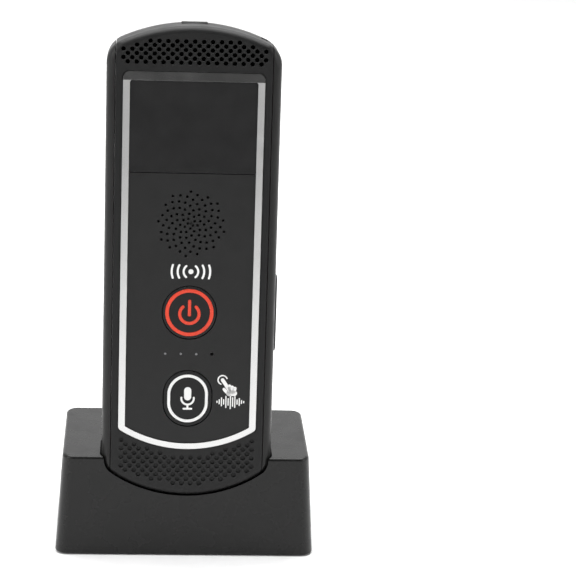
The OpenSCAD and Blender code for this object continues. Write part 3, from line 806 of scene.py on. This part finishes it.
@dataclass
class Face:
    """The framed face: trim, display window, control panel and the marks printed on it."""

    half_width: float = 28.65
    top: float = 178.4
    low: float = 20.7
    arc: float = 53.0
    side_bar: float = 2.75
    top_bar: float = 3.5
    low_bar: float = 2.4
    low_corner: Point = (2.0, 0.8)
    groove: float = 0.3
    top_fall: float = 0.8
    outer_corner: float = 2.6
    inner_corner: float = 0.8
    proud: float = 0.35
    floor: float = 1.45
    plate: float = 0.15
    joint: float = 137.25
    joint_gap: float = 0.12
    speaker_z: float = 116.4
    speaker_holes: int = 97
    speaker_hole: float = 0.56
    speaker_spread: float = 13.9
    golden: float = 137.508
    light_z: float = 61.5
    light_step: float = 6.45
    ink: float = 0.03

    def outline(self, shrink: float, top: float | None = None) -> bmesh.types.BMesh:
        """Draws the frame's outline: straight sides, a flat top and a curved foot.

        Args:
            shrink: how far inside the frame's outer edge it runs.
            top: the height of its top edge; the frame's own if not given.

        Returns:
            The filled outline.
        """
        x = self.half_width - shrink
        inner = shrink > 1
        high = top if top is not None else self.top - (self.top_bar + shrink - self.side_bar if inner else shrink)
        corner = self.inner_corner if inner else self.outer_corner
        radius = self.arc - (shrink - self.side_bar + self.low_bar if inner else shrink)
        centre = (0.0, self.low + self.arc)
        soft = self.low_corner[inner]
        turn = math.degrees(math.asin((x - soft) / (radius - soft)))
        low = polar(centre, radius - soft, turn - 90)
        pen = Pen(x, low[1]).line(x, high - corner).arc((x - corner, high - corner), 90)
        pen.line(-x + corner, high).arc((-x + corner, high - corner), 90)
        pen.line(-x, low[1]).arc((-low[0], low[1]), 90 - turn).arc(centre, 2 * turn)
        return pen.arc(low, 90 - turn).face()

    def speaker_spots(self) -> list[Point]:
        """Gives the places of the loudspeaker's holes, set like the seeds of a sunflower."""
        spots = []
        for n in range(self.speaker_holes):
            reach = self.speaker_spread * (n / (self.speaker_holes - 1)) ** 0.6
            spots.append(polar((0, self.speaker_z), reach, 90 - n * self.golden))
        return spots

    def trim(self) -> bmesh.types.BMesh:
        """Makes the bright frame with its edges rounded."""
        ring = carve(
            slab(self.outline(0), -self.proud, self.floor - 0.02),
            slab(self.outline(self.side_bar), -2, 3),
        )
        start = self.top - self.top_bar
        every = ring.verts[:] + ring.edges[:] + ring.faces[:]
        bmesh.ops.bisect_plane(ring, geom=every, dist=1e-4, plane_co=(0, 0, start), plane_no=(0, 0, 1))
        for spot in ring.verts:
            if spot.co.y < 0:
                spot.co.y += self.top_fall * max(0.0, spot.co.z - start) / self.top_bar
        return ease(ring, 0.5, lambda p: p.y < 1, 10)

    def window(self) -> bmesh.types.BMesh:
        """Makes the smooth window over the display."""
        plate = slab(self.outline(self.side_bar + 0.1), self.plate, self.floor - 0.02)
        keep(plate, (0, 0, self.joint + self.joint_gap), (0, 0, -1))
        return ease(plate, 0.12, lambda p: p.y < self.plate + 0.01, 2)

    def panel(self, controls: Controls) -> bmesh.types.BMesh:
        """Makes the control panel with its openings.

        Args:
            controls: the buttons that the openings are for.

        Returns:
            The closed solid.
        """
        plate = slab(self.outline(self.side_bar + 0.1), self.plate, self.floor - 0.02)
        keep(plate, (0, 0, self.joint - self.joint_gap), (0, 0, 1))
        plate = carve(plate, controls.openings(-1, 3))
        ease(plate, 0.14, lambda p: p.y < self.plate + 0.01, 2)
        plate = carve(plate, repeat(drill(self.speaker_hole, self.plate, 3, 0.1, 16), self.speaker_spots()))
        lights = [((i - 1.5) * self.light_step, self.light_z) for i in range(3)]
        plate = carve(plate, repeat(drill(0.5, self.plate, 3, 0.08, 16), lights))
        return carve(plate, repeat(drill(0.7, self.plate, 3, 0.1, 18), [(1.5 * self.light_step, self.light_z)]))

    def printed(self, marks: Sequence[bmesh.types.BMesh]) -> bmesh.types.BMesh:
        """Gives flat marks the thickness of ink on the panel."""
        return join(slab(mark, self.plate - self.ink, self.plate + 0.05) for mark in marks)

    def broadcast_mark(self) -> bmesh.types.BMesh:
        """Makes the printed sign of a sender: a dot with waves on both sides."""
        centre = (0.26, 96.4)
        marks = [disc(centre, 1.05)]
        for radius, reach in ((3.0, 50), (5.45, 29), (7.9, 20)):
            for side in (0, 180):
                marks.append(bow(centre, radius, 0.85, side - reach, 2 * reach))
        return self.printed(marks)

    def press_mark(self) -> bmesh.types.BMesh:
        """Makes the printed hand whose finger points up and left at a round key."""
        tip = (14.4, 50.6)
        marks = [bow(tip, 1.9, 0.55, 20, 230), bar(tip, (17.2, 46.4), 1.5)]
        for n in range(3):
            knuckle = (17.3 + 1.15 * n, 48.0 - 0.5 * n)
            marks.append(bar(knuckle, (17.3 + 0.9 * n, 45.4), 1.45))
        marks.append(bar((15.1, 46.6), (17.0, 44.4), 1.3))
        marks.append(bar((17.2, 44.9), (19.4, 44.9), 2.3))
        return self.printed(marks)

    def wave_mark(self) -> bmesh.types.BMesh:
        """Makes the printed row of bars that stands for a voice."""
        heights = (0.5, 1.7, 3.4, 1.9, 4.8, 2.8, 5.8, 3.6, 4.6, 1.8, 2.9, 1.2, 0.5)
        step = 0.93
        middle = (17.85, 41.2)
        marks = []
        for n, tall in enumerate(heights):
            x = middle[0] + (n - (len(heights) - 1) / 2) * step
            marks.append(bar((x, middle[1] - tall / 2), (x, middle[1] + tall / 2), 0.48))
        return self.printed(marks)


@dataclass
class Controls:
    """The power and talk buttons with their coloured legends, and the key on the side."""

    power_z: float = 79.1
    power: float = 11.1
    ring: Point = (8.45, 10.0)
    talk_z: float = 42.45
    talk: float = 20.0
    talk_straight: float = 3.7
    talk_ring: Point = (1.55, 2.8)
    gap: float = 0.3
    cap_back: float = 2.9
    flange: float = 3.65
    stem: Point = (2.0, 5.0)
    inlay: Point = (0.02, 0.58)
    pocket: float = 0.6
    fit: float = 0.03
    key_middle: Point = (11.5, 77.2)
    key_length: float = 32.8
    key_half: float = 3.2
    key_reach: Point = (32.6, 36.5)

    def openings(self, near: float, far: float) -> bmesh.types.BMesh:
        """Makes the two holes that the buttons move in, between two depths."""
        hole = slab(disc((0, self.power_z), self.power + self.gap), near, far)
        return join([hole, slab(oblong((0, self.talk_z), self.talk + 2 * self.gap, self.talk_straight), near, far)])

    def power_sign(self, grow: float = 0.0) -> list[bmesh.types.BMesh]:
        """Draws the power sign: an open ring and an upright bar.

        Args:
            grow: how far each stroke stands outside the real one.

        Returns:
            The filled outlines.
        """
        centre = (0.0, self.power_z - 0.55)
        width = 1.35 + 2 * grow
        upright = bar((0, centre[1] - 0.4), (0, centre[1] + 5.4), width)
        return [bow(centre, 4.0, width, 132, 276), upright]

    def talk_outline(self, shrink: float) -> bmesh.types.BMesh:
        """Draws the talk button's outline, shrunk."""
        return oblong((0, self.talk_z), self.talk - 2 * shrink, self.talk_straight)

    def microphone_sign(self, grow: float = 0.0) -> list[bmesh.types.BMesh]:
        """Draws a microphone: a capsule, its cradle, stem and foot.

        Args:
            grow: how far each stroke stands outside the real one.

        Returns:
            The filled outlines.
        """
        z = self.talk_z
        thin = 0.8 + 2 * grow
        return [
            bar((0, z + 0.7), (0, z + 3.4), 3 + 2 * grow),
            bow((0, z), 2.6, thin, 172, 196),
            bar((0, z - 4.4), (0, z - 2.7), thin),
            bar((-1.6, z - 4.4), (1.6, z - 4.4), thin),
        ]

    def backs(self, z: float) -> list[bmesh.types.BMesh]:
        """Makes the stem behind a button's cap."""
        return [turned([(0, self.cap_back - 0.5), (self.stem[0], self.cap_back - 0.5), (self.stem[0], self.stem[1]), (0, self.stem[1])], (0, z), 32)]

    def power_button(self) -> bmesh.types.BMesh:
        """Makes the round cap with its flange, stem and the grooves for its legend."""
        soft = 0.45
        rim = [(self.power + soft * (math.sin(math.radians(a)) - 1), soft * (1 - math.cos(math.radians(a))))
               for a in range(0, 91, 15)]
        wide = self.power + 1.1
        cap = turned([(0, 0), *rim, (self.power, self.cap_back), (wide, self.cap_back), (wide, self.flange), (0, self.flange)], (0, self.power_z), 96)
        cap = melt([cap, *self.backs(self.power_z)])
        near, far = self.ring[0] - self.fit, self.ring[1] + self.fit
        groove = turned([(near, -1), (far, -1), (far, self.pocket), (near, self.pocket)], (0, self.power_z), 96)
        cap = carve(cap, groove)
        return carve(cap, melt([slab(mark, -1, self.pocket) for mark in self.power_sign(self.fit)]))

    def power_legend(self) -> bmesh.types.BMesh:
        """Makes the coloured ring and power sign that lie in the cap's grooves."""
        top, foot = self.inlay
        near, far = self.ring
        ring = turned([(near, top), (far, top), (far, foot), (near, foot)], (0, self.power_z), 96)
        ease(ring, 0.12, lambda p: p.y < top + 0.01, 2)
        sign = melt([slab(mark, top, foot) for mark in self.power_sign()])
        return join([ring, ease(sign, 0.1, lambda p: p.y < top + 0.01, 2)])

    def talk_button(self) -> bmesh.types.BMesh:
        """Makes the oblong cap with its flange, stem and the grooves for its legend."""
        cap = slab(self.talk_outline(0), 0, self.cap_back)
        ease(cap, 0.45, lambda p: p.y < 0.01, 5)
        cap = melt([cap, slab(self.talk_outline(-1.1), self.cap_back - 0.05, self.flange), *self.backs(self.talk_z)])
        groove = carve(
            slab(self.talk_outline(self.talk_ring[0] - self.fit), -1, self.pocket),
            slab(self.talk_outline(self.talk_ring[1] + self.fit), -2, 2),
        )
        cap = carve(cap, groove)
        return carve(cap, melt([slab(mark, -1, self.pocket) for mark in self.microphone_sign(self.fit)]))

    def talk_legend(self) -> bmesh.types.BMesh:
        """Makes the white ring and microphone that lie in the cap's grooves."""
        top, foot = self.inlay
        ring = carve(slab(self.talk_outline(self.talk_ring[0]), top, foot), slab(self.talk_outline(self.talk_ring[1]), -2, 2))
        ease(ring, 0.1, lambda p: p.y < top + 0.01, 2)
        sign = melt([slab(mark, top, foot) for mark in self.microphone_sign()])
        return join([ring, ease(sign, 0.08, lambda p: p.y < top + 0.01, 2)])

    def key_form(self, grow: float, reach: Point) -> bmesh.types.BMesh:
        """Makes the side key's oblong, which is drawn flat and then turned to face sideways.

        Args:
            grow: how far it stands outside the real one.
            reach: the x where it starts and ends.

        Returns:
            The closed solid.
        """
        depth, height = self.key_middle
        width = 2 * (self.key_half + grow)
        form = slab(oblong((0, 0), width, self.key_length - 2 * self.key_half), -reach[1], -reach[0])
        bmesh.ops.rotate(form, cent=(0, 0, 0), matrix=Matrix.Rotation(math.pi / 2, 3, "Z"), verts=form.verts[:])
        bmesh.ops.translate(form, vec=(0, depth, height), verts=form.verts[:])
        return form

    def side_key(self) -> bmesh.types.BMesh:
        """Makes the key on the side, with its outer edge rounded."""
        key = self.key_form(0, self.key_reach)
        return ease(key, 0.8, lambda p: p.x > self.key_reach[1] - 0.01, 5)


@dataclass
class Housing:
    """The front and rear shells and the two side rails."""

    handset: Handset
    face: Face
    controls: Controls
    grille_step: Point = (1.794, 1.706)
    grille_top: float = 190.8
    grille_hole: float = 0.93
    dimple_step: Point = (1.818, 1.862)
    dimple_top: float = 24.23
    dimple: float = 0.9
    cover: Point = (5.3, 12.3)
    screws: tuple[Point, ...] = ((-26.4, 38.0), (26.4, 38.0), (-26.4, 168.0), (26.4, 168.0))

    def grille_spots(self) -> list[Point]:
        """Gives the places of the crown grille's holes, in staggered rows under the crown."""
        form = self.handset
        spots = []
        for row in range(6):
            for column in range(-16, 17):
                x = column * self.grille_step[0]
                z = self.grille_top - row * self.grille_step[1]
                inside = math.hypot(x, z - form.length + form.crown) < form.crown - 3.2
                if (row + column) % 2 == 0 and abs(x) < 29 and inside:
                    spots.append((x, z))
        return spots

    def dimple_spots(self) -> list[Point]:
        """Gives the places of the foot's dimples, in staggered rows between two arcs."""
        spots = []
        for row in range(11):
            for column in range(-15, 16):
                x = column * self.dimple_step[0]
                z = self.dimple_top - row * self.dimple_step[1]
                between = math.hypot(x, z - 60) < 55.1 and math.hypot(x, z - 71.4) > 53.4
                if (abs(column) + row) % 2 == 1 and between:
                    spots.append((x, z))
        return spots

    def inner_holes(self) -> bmesh.types.BMesh:
        """Makes the holes for the charge pads and for the side key's plunger."""
        depth, high = self.controls.key_middle
        ways = [(2.2, 8, Matrix.Translation((side * 5, 13, 2))) for side in (-1, 1)]
        ways.append((1.15, 5, Matrix.Translation((30.5, depth, high)) @ Matrix.Rotation(math.pi / 2, 4, "Y")))
        holes = bmesh.new()
        for radius, length, place in ways:
            bmesh.ops.create_cone(
                holes, cap_ends=True, segments=32, radius1=radius, radius2=radius, depth=length, matrix=place
            )
        return holes

    def front_shell(self) -> bmesh.types.BMesh:
        """Makes the front shell with its recess, openings, grille and dimples."""
        form, face = self.handset, self.face
        shell = form.part(form.seam - form.seam_gap, -1, form.split - 0.04)
        ease(shell, 0.34, lambda p: abs(p.x) > form.seam - 0.2 or p.y > form.split - 0.1)
        shell = carve(shell, form.hollow(form.front_wall, form.split + 1))
        shell = carve(shell, slab(face.outline(-face.groove), -1, face.floor))
        ease(shell, 0.16, lambda p: p.y < 0.01 and abs(p.x) < 30 and 15 < p.z < 180)
        shell = carve(shell, block((-23, 1, 144), (23, 4, 171)))
        shell = carve(shell, slab(disc((0, face.speaker_z), 14.8), 0.5, 4))
        shell = carve(shell, self.controls.openings(0.5, 4))
        shell = carve(shell, self.inner_holes())
        lights = [((i - 1.5) * face.light_step, face.light_z) for i in range(4)]
        shell = carve(shell, repeat(drill(0.75, 1, 4, 0.1, 16), lights))
        shell = carve(shell, repeat(drill(self.grille_hole, 0, 4, 0.2), self.grille_spots()))
        return carve(shell, repeat(drill(self.dimple, 0, 0.9, 0.2), self.dimple_spots()))

    def rear_shell(self) -> bmesh.types.BMesh:
        """Makes the rear shell with its port, strap slot, screw wells and pad holes."""
        form = self.handset
        top = form.length
        shell = form.part(form.seam - form.seam_gap, form.split + 0.04, form.thick + 1)
        ease(shell, 0.34, lambda p: abs(p.x) > form.seam - 0.2 or p.y < form.split + 0.1)
        x, y = self.cover
        recess = block((-x - 0.25, y - 0.25, top - 0.75), (x + 0.25, y + 6.75, top + 2))
        shell = carve(shell, ease(recess, 0.5, lambda p: True, 3))
        shell = carve(shell, block((27.2, 12.5, top - 16), (30, 18.5, top + 2)))
        ease(shell, 0.25, lambda p: p.z > top - 9 and 11.5 < p.y < 19.5 and (abs(p.x) < 6 or p.x > 26))
        room = form.hollow(form.split - 1, form.thick - form.wall)
        shell = carve(shell, carve(room, block((26.2, 5, top - 17), (40, 19.5, top + 5))))
        shell = carve(shell, block((-4.6, y + 0.85, top - 6), (4.6, y + 5.45, top)))
        posts = repeat(slab(disc((0, 0), 2.9), form.split + 0.1, form.thick - 1), self.screws)
        shell = carve(shell, posts, Cut.ADD)
        well = turned([(0, 0), (1.45, 0), (1.45, 19), (2.6, 19), (2.6, 22.75), (2.9, 23.05), (2.9, 25), (0, 25)], steps=32)
        shell = carve(shell, repeat(well, self.screws))
        return carve(shell, self.inner_holes())

    def rail(self, side: int) -> bmesh.types.BMesh:
        """Makes the rail along one side.

        Args:
            side: 1 for the right rail, which holds the side key, and -1 for the left one.

        Returns:
            The closed solid.
        """
        form = self.handset
        edge = form.seam + form.seam_gap
        rail = keep(form.form(), (side * edge, 0, 0), (-side, 0, 0))
        ease(rail, 0.42, lambda p: abs(p.x) < edge + 0.01)
        if side > 0:
            rail = carve(rail, self.controls.key_form(0.25, (30, 40)))
            ease(rail, 0.3, lambda p: p.x > form.width / 2 - 0.02)
        return rail


@dataclass
class PortCover:
    """The small rubber cover over the charging port in the crown."""

    half_width: float = 5.3
    depth: Point = (12.3, 18.6)
    under: float = 0.7
    rise: float = 0.15
    hinge: float = 0.35
    hinge_z: float = -0.15

    def shape(self, handset: Handset) -> bmesh.types.BMesh:
        """Makes the cover with its plug and its hinge.

        Args:
            handset: the handset whose crown it closes.

        Returns:
            The closed solid.
        """
        top = handset.length
        middle = sum(self.depth) / 2
        lid = block((-self.half_width, self.depth[0], top - self.under), (self.half_width, self.depth[1], top + self.rise))
        ease(lid, 0.32, everywhere, 4)
        plug = block((-3.4, middle - 1.1, top - 1.7), (3.4, middle + 1.1, top - self.under + 0.2))
        pin = bmesh.new()
        bmesh.ops.create_cone(
            pin, cap_ends=True, segments=20, radius1=self.hinge, radius2=self.hinge, depth=2 * self.half_width,
            matrix=Matrix.Translation((0, self.depth[1], top + self.hinge_z)) @ Matrix.Rotation(math.pi / 2, 4, "Y"),
        )
        return melt([lid, plug, pin])


@dataclass
class Dock:
    """The charging dock's shell: a tapered block with the handset's pocket sunk in it."""

    handset: Handset
    draft: float = 3.6
    corner: float = 5.0
    soft: float = 1.3
    wall: float = 2.2
    gap: float = 0.6
    lead: float = 0.8
    low: float = 0.6
    base: float = 2.2
    screws: tuple[Point, ...] = ((-32.0, -24.0), (32.0, -24.0), (-44.0, 8.0), (44.0, 8.0))

    def size(self) -> Vector:
        """Reads the dock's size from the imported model, in millimetres."""
        low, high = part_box("dock_shell")
        return Vector((high.x - low.x, high.y - low.y, high.z)) / MM

    def body(self, inset: float, low: float, top: float, soft: float) -> bmesh.types.BMesh:
        """Makes the tapered block with its upright edges rounded.

        Args:
            inset: how far it stands inside the outer block.
            low: the z where it starts.
            top: the z where it ends.
            soft: the rounding of its top edge.

        Returns:
            The closed solid.
        """
        size = self.size()
        lean = math.tan(math.radians(self.draft))
        x, y = size.x / 2 - inset, size.y / 2 - inset
        solid = block((-x, -y, low), (x, y, top))
        for spot in solid.verts:
            in_by = lean * max(0.0, spot.co.z)
            spot.co.x -= math.copysign(in_by, spot.co.x)
            spot.co.y -= math.copysign(in_by, spot.co.y)
        upright = [e for e in solid.edges if abs(e.verts[0].co.z - e.verts[1].co.z) > 1]
        bmesh.ops.bevel(
            solid, geom=upright, offset=self.corner, offset_type="OFFSET", segments=12, profile=0.5,
            affect="EDGES", material=-1,
        )
        if soft:
            ease(solid, soft, lambda p: p.z > top - 0.01, 7)
        return solid

    def shell(self, seat: Matrix) -> bmesh.types.BMesh:
        """Makes the dock's shell.

        Args:
            seat: where the handset stands, as the matrix that places its pieces in metres.

        Returns:
            The closed solid.
        """
        place = Matrix.Scale(1 / MM, 4) @ seat
        top = self.size().z
        outer = self.body(0, self.low, top, self.soft)
        ease(outer, 0.4, lambda p: p.z < self.low + 0.01, 2)
        room = self.body(self.wall, -1, top - self.wall, 0.3)
        around = self.handset.form(self.gap + self.handset.wall)
        around.transform(place)
        shell = carve(outer, carve(room, keep(around, (0, 0, top - 1), (0, 0, 1))))
        for lead in (0, self.lead):
            pocket = self.handset.form(self.gap)
            pocket.transform(place @ Matrix.Translation((0, -lead, 0)))
            shell = carve(shell, pocket)
        ease(shell, 0.5, self.on_rim, 4, 25)
        ribs = [block((s * 17 - 1.5, -25.7, 23.5), (s * 17 + 1.5, -11.7, 30.5)) for s in (-1, 1)]
        foot = self.handset.form(0.05)
        foot.transform(place)
        shell = carve(shell, carve(join(ribs), foot), Cut.ADD)
        shell = carve(shell, block((-9.1, -21.8, 10), (9.1, -14.6, 40)))
        shell = carve(shell, block((-5.6, 20, 6.6), (5.6, 40, 12.4)))
        return ease(shell, 0.3, lambda p: p.y > 31 and 6.5 < p.z < 12.5 and abs(p.x) < 6)

    def on_rim(self, spot: Vector) -> bool:
        """Says whether a point lies on the pocket's rim, on the top or on the front of the dock."""
        size = self.size()
        front = size.y / 2 - math.tan(math.radians(self.draft)) * spot.z
        on_top = spot.z > size.z - 0.01
        on_front = spot.y < -front + 0.05
        return abs(spot.x) < 40 and spot.z > 20 and (on_top or on_front)


# ---------- floor, light and camera ----------


@dataclass
class Studio:
    """The pale floor, the soft light and the camera."""

    lens: float = 136.61
    spot: tuple[float, float, float] = (-0.019633, -0.881814, 0.384637)
    pitch: float = 17.302
    yaw: float = 3.999
    roll: float = 2.156

    def camera(self) -> None:
        """Sets up the camera."""
        data = bpy.data.cameras.new("camera")
        data.lens, data.sensor_width = self.lens, 36
        data.clip_start, data.clip_end = 0.05, 50
        eye = bpy.data.objects.new("camera", data)
        aim = Matrix.Rotation(-math.radians(self.yaw), 4, "Z")
        aim = aim @ Matrix.Rotation(math.radians(90 - self.pitch), 4, "X")
        eye.matrix_world = Matrix.Translation(self.spot) @ aim @ Matrix.Rotation(math.radians(self.roll), 4, "Z")
        bpy.context.scene.collection.objects.link(eye)
        bpy.context.scene.camera = eye

    def floor(self) -> None:
        """Lays the plain pale floor."""
        sheet = bmesh.new()
        bmesh.ops.create_grid(sheet, x_segments=1, y_segments=1, size=6)
        mesh = bpy.data.meshes.new("floor")
        sheet.to_mesh(mesh)
        sheet.free()
        ground = bpy.data.objects.new("floor", mesh)
        bpy.context.scene.collection.objects.link(ground)
        pale = Finish("floor_paper", grey(0.92), 0.7, specular=0.2, grain=3, relief=0.02, mottle=0.01)
        mesh.materials.append(pale.material())

    def lamp(
        self, name: str, spot: Sequence[float], aim: Sequence[float], size: Point, power: float
    ) -> None:
        """Hangs a soft box.

        Args:
            name: the lamp's name.
            spot: where it hangs.
            aim: the point it faces.
            size: its width and height.
            power: its power in watts.
        """
        data = bpy.data.lights.new(name, "AREA")
        data.shape, data.size, data.size_y, data.energy = "RECTANGLE", size[0], size[1], power
        lamp = bpy.data.objects.new(name, data)
        way = Vector(spot) - Vector(aim)
        lamp.matrix_world = Matrix.Translation(spot) @ way.to_track_quat("Z", "Y").to_matrix().to_4x4()
        bpy.context.scene.collection.objects.link(lamp)

    def light(self) -> None:
        """Lights the scene: a soft room and three soft boxes."""
        world = bpy.data.worlds.new("room")
        world.use_nodes = True
        tree = world.node_tree
        place = tree.nodes.new("ShaderNodeTexCoord")
        split = tree.nodes.new("ShaderNodeSeparateXYZ")
        behind = tree.nodes.new("ShaderNodeMath")
        behind.operation = "MULTIPLY_ADD"
        behind.inputs[1].default_value = -0.36
        ramp = tree.nodes.new("ShaderNodeValToRGB")
        stops = ((0.0, 1.0), (0.3, 0.95), (0.55, 0.62), (0.66, 0.06), (1.0, 0.05))
        while len(ramp.color_ramp.elements) < len(stops):
            ramp.color_ramp.elements.new(0.5)
        for stop, (high, level) in zip(ramp.color_ramp.elements, stops):
            stop.position = high
            stop.color = (*grey(level), 1)
        tree.links.new(place.outputs["Generated"], split.inputs["Vector"])
        tree.links.new(split.outputs["Y"], behind.inputs[0])
        tree.links.new(split.outputs["Z"], behind.inputs[2])
        tree.links.new(behind.outputs["Value"], ramp.inputs["Fac"])
        back = tree.nodes["Background"]
        tree.links.new(ramp.outputs["Color"], back.inputs["Color"])
        back.inputs["Strength"].default_value = 1.0
        bpy.context.scene.world = world
        self.lamp("overhead", (0.0, 0.25, 1.5), (0, 0, 0.1), (1.8, 1.6), 46)
        self.lamp("left_box", (-1.3, -0.7, 0.9), (0, 0, 0.1), (0.7, 1.0), 9)
        self.lamp("right_box", (1.4, -0.5, 0.8), (0, 0, 0.1), (0.6, 0.9), 5)
        bpy.context.scene.view_settings.view_transform = "Standard"


def main() -> None:
    """Builds the scene in order: camera, finishes, handset, dock and studio."""
    logging.basicConfig(level=logging.INFO, format="%(name)s: %(message)s")
    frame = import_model()
    studio = Studio()
    studio.camera()
    shop = Shop(frame)
    shop.dress_nodes()
    handset, face, controls = Handset(), Face(), Controls()
    housing = Housing(handset, face, controls)
    shop.piece("front_shell_moulding", housing.front_shell(), "housing", "handset", "front_shell")
    shop.piece("rear_shell_moulding", housing.rear_shell(), "housing", "handset", "rear_shell")
    shop.piece("left_rail_moulding", housing.rail(-1), "rail", "handset", "side_rail_left")
    shop.piece("right_rail_moulding", housing.rail(1), "rail", "handset", "side_rail_right")
    shop.piece("bright_trim", face.trim(), "chrome", "handset", "trim_frame", crease=11)
    shop.piece("smooth_window", face.window(), "window", "handset", "display_window")
    shop.piece("control_plate", face.panel(controls), "panel", "handset", "control_panel")
    shop.piece("broadcast_mark", face.broadcast_mark(), "white_legend", "handset")
    shop.piece("press_mark", face.press_mark(), "white_legend", "handset")
    shop.piece("wave_mark", face.wave_mark(), "white_legend", "handset")
    shop.piece("power_cap", controls.power_button(), "button", "power_key", "power_button")
    shop.piece("power_inlay", controls.power_legend(), "red_legend", "power_key", "power_legend")
    shop.piece("talk_cap", controls.talk_button(), "button", "talk_key", "talk_button")
    shop.piece("talk_inlay", controls.talk_legend(), "white_legend", "talk_key", "talk_legend")
    shop.piece("side_key_cap", controls.side_key(), "button", "side_key", "side_key")
    shop.piece("port_lid", PortCover().shape(handset), "rubber", "port_cover", "port_cover")
    dock = Dock(handset)
    shop.piece("dock_moulding", dock.shell(shop.seat), "dock", "dock", "dock_shell", Matrix.Scale(MM, 4))
    studio.floor()
    studio.light()


if __name__ == "__main__":
    main()
